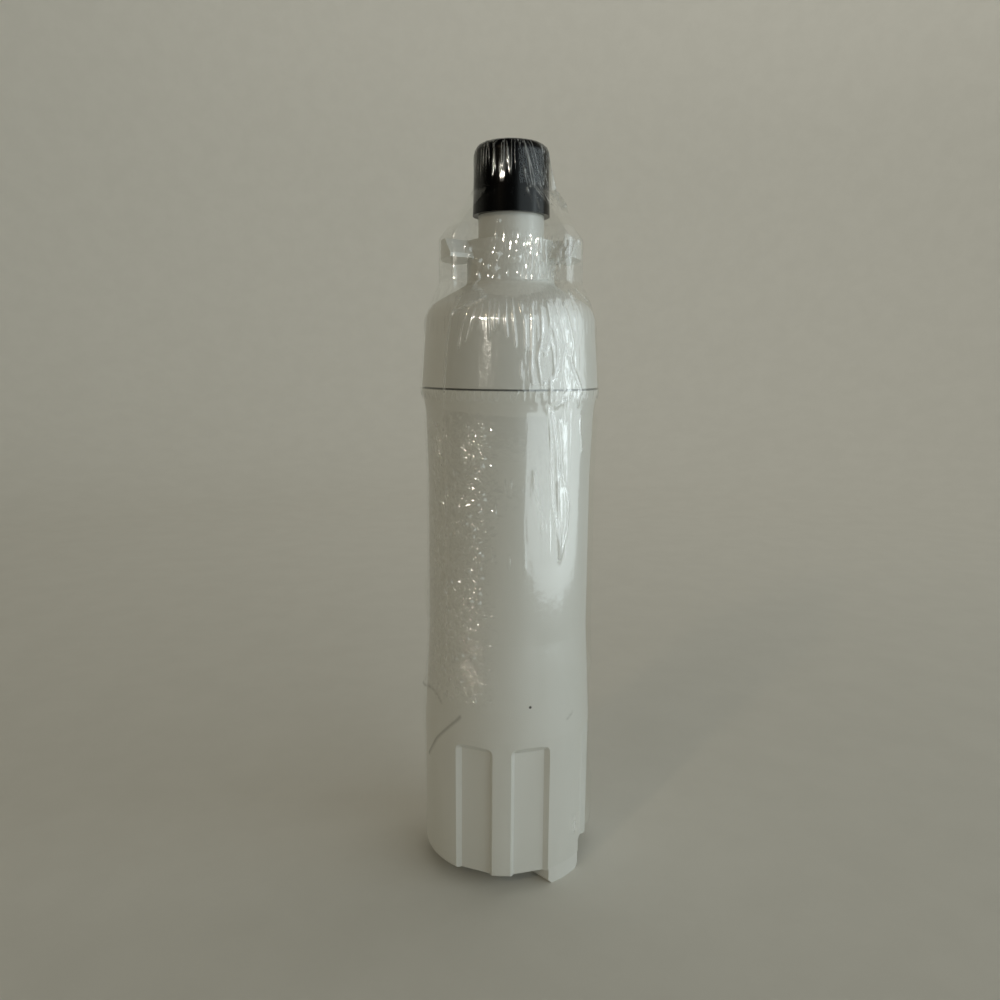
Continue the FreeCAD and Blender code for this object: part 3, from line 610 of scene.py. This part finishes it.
def make_film():
    mesh = turned_sheet(walk(film_outline()), FILM_STEPS)
    drape(mesh)
    bmesh.ops.recalc_face_normals(mesh, faces=mesh.faces)
    piece = new_piece("shrink_wrap", mesh, clear_film("clear_film"))
    piece.visible_shadow = False
    piece.visible_diffuse = False
    piece.visible_glossy = False
    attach(piece, "root")
    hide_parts("shrink_film")
    return piece


def studio_paper():
    """Pale matt paper, so that the panels that are there for the gloss alone leave no edge on it."""
    shader = Shader("studio_paper")
    fibre = shader.grain(40, 40, 4.0, 0.6)
    tone = shader.mix(fibre.rise(0.3, 0.7), (0.68, 0.675, 0.635, 1), (0.70, 0.695, 0.655, 1))
    sockets = {"Base Color": tone, "Roughness": 0.85, "Specular IOR Level": 0.0}
    return shader.finish(shader.principled(sockets))


def in_front(face):
    """Whether a face of the studio is in the front half of its wall."""
    middle = face.calc_center_median()
    return middle.y < 0 and middle.z > FLOOR_EDGE


def make_studio():
    """A round pale floor that rises to a wall, far outside the object.

    Only the camera sees the front half of the wall, so it keeps no light from the object.
    """
    corners = [(0.0, 0.0), (FLOOR_RADIUS, 0.0)]
    for turn in range(10, 100, 10):
        bend = math.radians(turn)
        across = FLOOR_RADIUS + BEND_RADIUS * math.sin(bend)
        corners.append((across, BEND_RADIUS - BEND_RADIUS * math.cos(bend)))
    corners.append((FLOOR_RADIUS + BEND_RADIUS, WALL_TOP))
    paper = studio_paper()
    for name, front in (("studio_floor", False), ("studio_front", True)):
        mesh = turned_sheet(corners, 96)
        spare = [face for face in mesh.faces if in_front(face) != front]
        bmesh.ops.delete(mesh, geom=spare, context="FACES")
        bmesh.ops.recalc_face_normals(mesh, faces=mesh.faces)
        bmesh.ops.reverse_faces(mesh, faces=mesh.faces)
        piece = new_piece(name, mesh, paper)
        piece.visible_diffuse = not front
        piece.visible_glossy = not front
        piece.visible_shadow = not front


def add_panel(name, centre, target, size, radiance, colour, diffuse=True, glossy=True):
    """A flat soft light that faces a point, as bright as so much radiance."""
    light = bpy.data.lights.new(name, "AREA")
    light.shape = "RECTANGLE"
    light.size, light.size_y = size
    light.energy = radiance * math.pi * size[0] * size[1]
    light.color = colour
    lamp = bpy.data.objects.new(name, light)
    lamp.location = centre
    lamp.rotation_euler = (Vector(centre) - Vector(target)).to_track_quat("Z", "Y").to_euler()
    lamp.visible_camera = False
    lamp.visible_diffuse = diffuse
    lamp.visible_glossy = glossy
    bpy.context.scene.collection.objects.link(lamp)


def add_bulb(name, centre, radius, energy, colour, diffuse=True):
    """A round lamp of so many watts."""
    light = bpy.data.lights.new(name, "POINT")
    light.shadow_soft_size = radius
    light.energy = energy
    light.color = colour
    lamp = bpy.data.objects.new(name, light)
    lamp.location = centre
    lamp.visible_camera = False
    lamp.visible_diffuse = diffuse
    bpy.context.scene.collection.objects.link(lamp)
    return lamp


def light_scene(film):
    """Daylight from a window on the right, a wash over the far wall, a warm lamp and one for the glints.

    The window is three panels: one lights the object, and two nearer ones are there for the gloss alone.
    """
    add_panel(
        "window",
        centre=(1.25, -0.57, 0.5),
        target=(0, 0, 0.3),
        size=(2.68, 1.06),
        radiance=1.37,
        colour=DAYLIGHT,
        glossy=False,
    )
    add_panel(
        "window_glow",
        centre=(0.290, -0.132, 0.212),
        target=(0, 0, 0.212),
        size=(0.62, 0.416),
        radiance=1.8,
        colour=DAYLIGHT,
        diffuse=False,
    )
    add_panel(
        "window_sky",
        centre=(0.285, -0.087, 0.168),
        target=(0, 0, 0.168),
        size=(0.042, 0.255),
        radiance=5.0,
        colour=DAYLIGHT,
        diffuse=False,
    )
    add_panel(
        "wall_wash",
        centre=(0.25, 0.35, 1.1),
        target=(0.25, 1.2, 0.5),
        size=(1.2, 0.5),
        radiance=1.8,
        colour=WALL_WASH,
        glossy=False,
    )
    add_bulb("lamp", centre=(-0.50, -0.75, 0.70), radius=0.03, energy=2.3, colour=LAMPLIGHT)
    place = (-0.42, -0.74, 0.40)
    glint = add_bulb("glint", centre=place, radius=0.03, energy=36.0, colour=GLINT, diffuse=False)
    lit = bpy.data.collections.new("glinting")
    lit.objects.link(film)
    glint.light_linking.receiver_collection = lit
    world = bpy.data.worlds.new("room_light")
    bpy.context.scene.world = world
    world.use_nodes = True
    room = world.node_tree.nodes["Background"]
    room.inputs["Color"].default_value = ROOM_LIGHT
    room.inputs["Strength"].default_value = ROOM_STRENGTH
    world.cycles_visibility.glossy = False


def add_camera():
    """The camera at the photograph's angle."""
    data = bpy.data.cameras.new("camera")
    data.lens = CAMERA_LENS
    data.sensor_width = CAMERA_SENSOR
    data.shift_x = CAMERA_SHIFT
    data.clip_start = CAMERA_NEAR
    camera = bpy.data.objects.new("camera", data)
    tilt = Euler((math.radians(90 - CAMERA_PITCH), 0, 0)).to_matrix()
    tilt = tilt @ Matrix.Rotation(math.radians(CAMERA_ROLL), 3, "Z")
    camera.location = CAMERA_PLACE
    camera.rotation_euler = tilt.to_euler()
    bpy.context.scene.collection.objects.link(camera)
    bpy.context.scene.camera = camera


def wear(node, material):
    """Gives a CAD solid its material."""
    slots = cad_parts[node].data.materials
    slots.clear()
    slots.append(material)


white = moulded_plastic(
    "white_plastic",
    (0.82, 0.82, 0.79, 1),
    (0.79, 0.79, 0.755, 1),
    0.3,
    speck=Vector(SPECK) * MM,
    seam=(SEAM * MM, (SEAM + SEAM_GROOVE) * MM),
)
black = moulded_plastic("black_plastic", (0.004, 0.004, 0.0045, 1), (0.0025, 0.0025, 0.003, 1), 0.2, ior=1.3)
ivory = moulded_plastic("end_cap_plastic", (0.74, 0.75, 0.74, 1), (0.68, 0.69, 0.68, 1), 0.45)
seal = rubber("seal_rubber")
for name, material in {
    "housing": white,
    "head": white,
    "protective_cap": black,
    "nozzle_o_ring_lower": seal,
    "nozzle_o_ring_upper": seal,
    "spigot_o_ring": seal,
    "carbon_block": pressed_carbon("carbon"),
    "prefilter_wrap": fleece("filter_fleece"),
    "bottom_end_cap": ivory,
    "top_end_cap": ivory,
}.items():
    wear(name, material)

film = make_film()
make_studio()
light_scene(film)
add_camera()
bpy.context.scene.view_settings.view_transform = "Standard"
